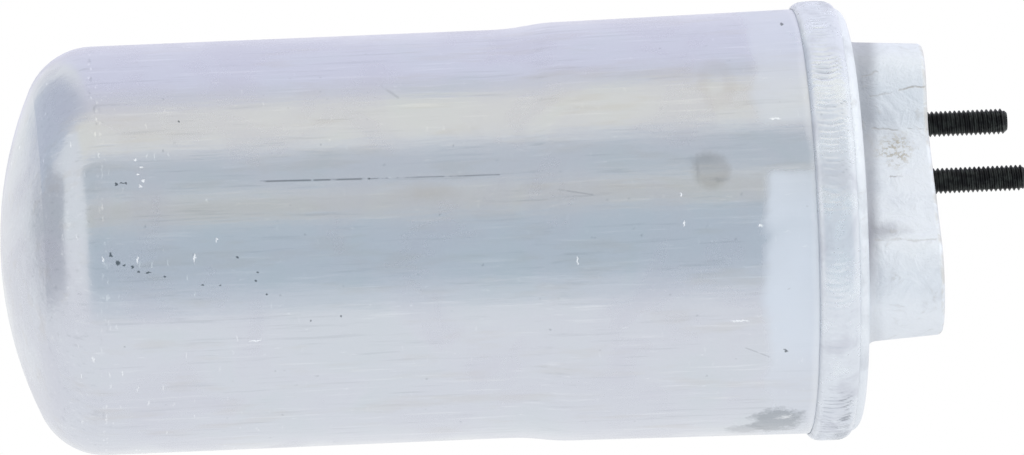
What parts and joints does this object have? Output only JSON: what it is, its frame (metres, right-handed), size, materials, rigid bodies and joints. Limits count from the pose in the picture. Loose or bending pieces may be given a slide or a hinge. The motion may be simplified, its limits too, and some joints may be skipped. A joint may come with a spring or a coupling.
{
  "type": "filter drier",
  "caption": "Welded aluminium receiver filter drier: domed can, forged header with a connection pad, bored inlet and outlet ports and threaded studs.",
  "frame": {"origin": "crown of the domed end, on the can's axis", "axes": "+Z along the can's axis towards the connection pad and studs, -Y towards the side where the inlet port's lobe stands out, upright with the header on top as it is fitted"},
  "size_m": [0.0958, 0.0958, 0.2229],
  "materials": {
    "can_aluminium": "satin drawn aluminium, lightly marked",
    "forged_aluminium": "blasted forging, machined face and ports",
    "weld_aluminium": "rippled weld bead, as laid",
    "black_steel": "black oxide",
    "tube_aluminium": "drawn tube",
    "plate_steel": "zinc plated",
    "screen_mesh": "woven stainless mesh",
    "spring_steel": "bright drawn wire",
    "filter_felt": "pressed felt",
    "desiccant_beads": "matt beads"
  },
  "bodies": {
    "root": {"can": "can_aluminium", "header": "forged_aluminium", "weld_bead": "weld_aluminium", "connection_studs": "black_steel", "pickup_tube": "tube_aluminium", "strainer_collar": "tube_aluminium", "strainer_screen": "screen_mesh", "strainer_cap": "tube_aluminium", "lower_plate": "plate_steel", "upper_plate": "plate_steel", "lower_pad": "filter_felt", "upper_pad": "filter_felt", "desiccant_bed": "desiccant_beads", "bed_spring": "spring_steel"}
  },
  "joints": []
}
